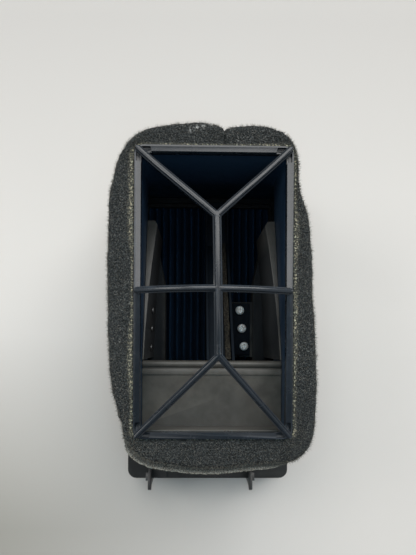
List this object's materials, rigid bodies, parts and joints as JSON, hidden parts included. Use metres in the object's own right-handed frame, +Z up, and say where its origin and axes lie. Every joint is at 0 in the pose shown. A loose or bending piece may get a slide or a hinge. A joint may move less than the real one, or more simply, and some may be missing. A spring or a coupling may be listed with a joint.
{
  "type": "air filter housing",
  "caption": "Upright air filter housing with a guarded, foam-collared inlet, flow guides, a clipped filter drawer and a bottom outlet.",
  "frame": {"origin": "middle of the bounding box's bottom face, on the plane that the housing stands on", "axes": "+Z up through the inlet mouth, -Y the way the filter drawer slides out, +X to the right seen from the drawer"},
  "size_m": [0.146, 0.2354, 0.1658],
  "materials": {
    "black_plastic": "moulded black plastic with a fine grain",
    "guard_plastic": "satin bluish black plastic, rubbed on its crests",
    "grey_plastic": "dusty dark grey plastic",
    "collar_foam": "open-cell grey foam, dusty on top",
    "strip_foam": "brown aged foam strip",
    "seal_rubber": "black closed-cell rubber",
    "filter_card": "black fibre board",
    "filter_media": "pleated charcoal-filled non-woven",
    "zinc": "zinc-plated steel",
    "black_steel": "black phosphated steel"
  },
  "bodies": {
    "housing": {"upper_housing": "black_plastic", "lower_housing": "black_plastic", "flange_seal": "seal_rubber", "inlet_guard": "guard_plastic", "inlet_foam_collar": "collar_foam", "baffle_shelf": "grey_plastic", "left_flow_guide": "grey_plastic", "right_flow_guide": "grey_plastic", "centre_divider": "black_plastic", "divider_foam_strip": "strip_foam", "outlet_gasket": "seal_rubber", "foot_screw_1": "zinc", "foot_screw_2": "zinc", "foot_screw_3": "zinc", "guide_rivet_1": "zinc", "guide_rivet_2": "zinc", "guide_rivet_3": "zinc", "flange_screw_1": "black_steel", "flange_screw_2": "black_steel", "flange_screw_3": "black_steel", "flange_screw_4": "black_steel", "flange_screw_5": "black_steel", "flange_screw_6": "black_steel", "flange_screw_7": "black_steel", "flange_screw_8": "black_steel", "mounting_bush_1": "zinc", "mounting_bush_2": "zinc", "mounting_bush_3": "zinc", "mounting_bush_4": "zinc"},
    "drawer": {"filter_drawer": "black_plastic", "cartridge_frame": "filter_card", "filter_media": "filter_media", "filter_seal": "seal_rubber", "left_clip_pin": "zinc", "right_clip_pin": "zinc"},
    "left_clip": {"left_clip_lever": "black_plastic"},
    "right_clip": {"right_clip_lever": "black_plastic"}
  },
  "joints": [
    {"name": "drawer_slide", "type": "slide", "parent": "housing", "child": "drawer", "axis": [0, -1, 0], "range_m": [0, 0.212]},
    {"name": "left_clip_hinge", "type": "hinge", "parent": "drawer", "child": "left_clip", "pos_m": [-0.044, -0.1119, 0.009], "axis": [1, 0, 0], "range_deg": [0, 86]},
    {"name": "right_clip_hinge", "type": "hinge", "parent": "drawer", "child": "right_clip", "pos_m": [0.0322, -0.1119, 0.009], "axis": [1, 0, 0], "range_deg": [0, 86]}
  ]
}
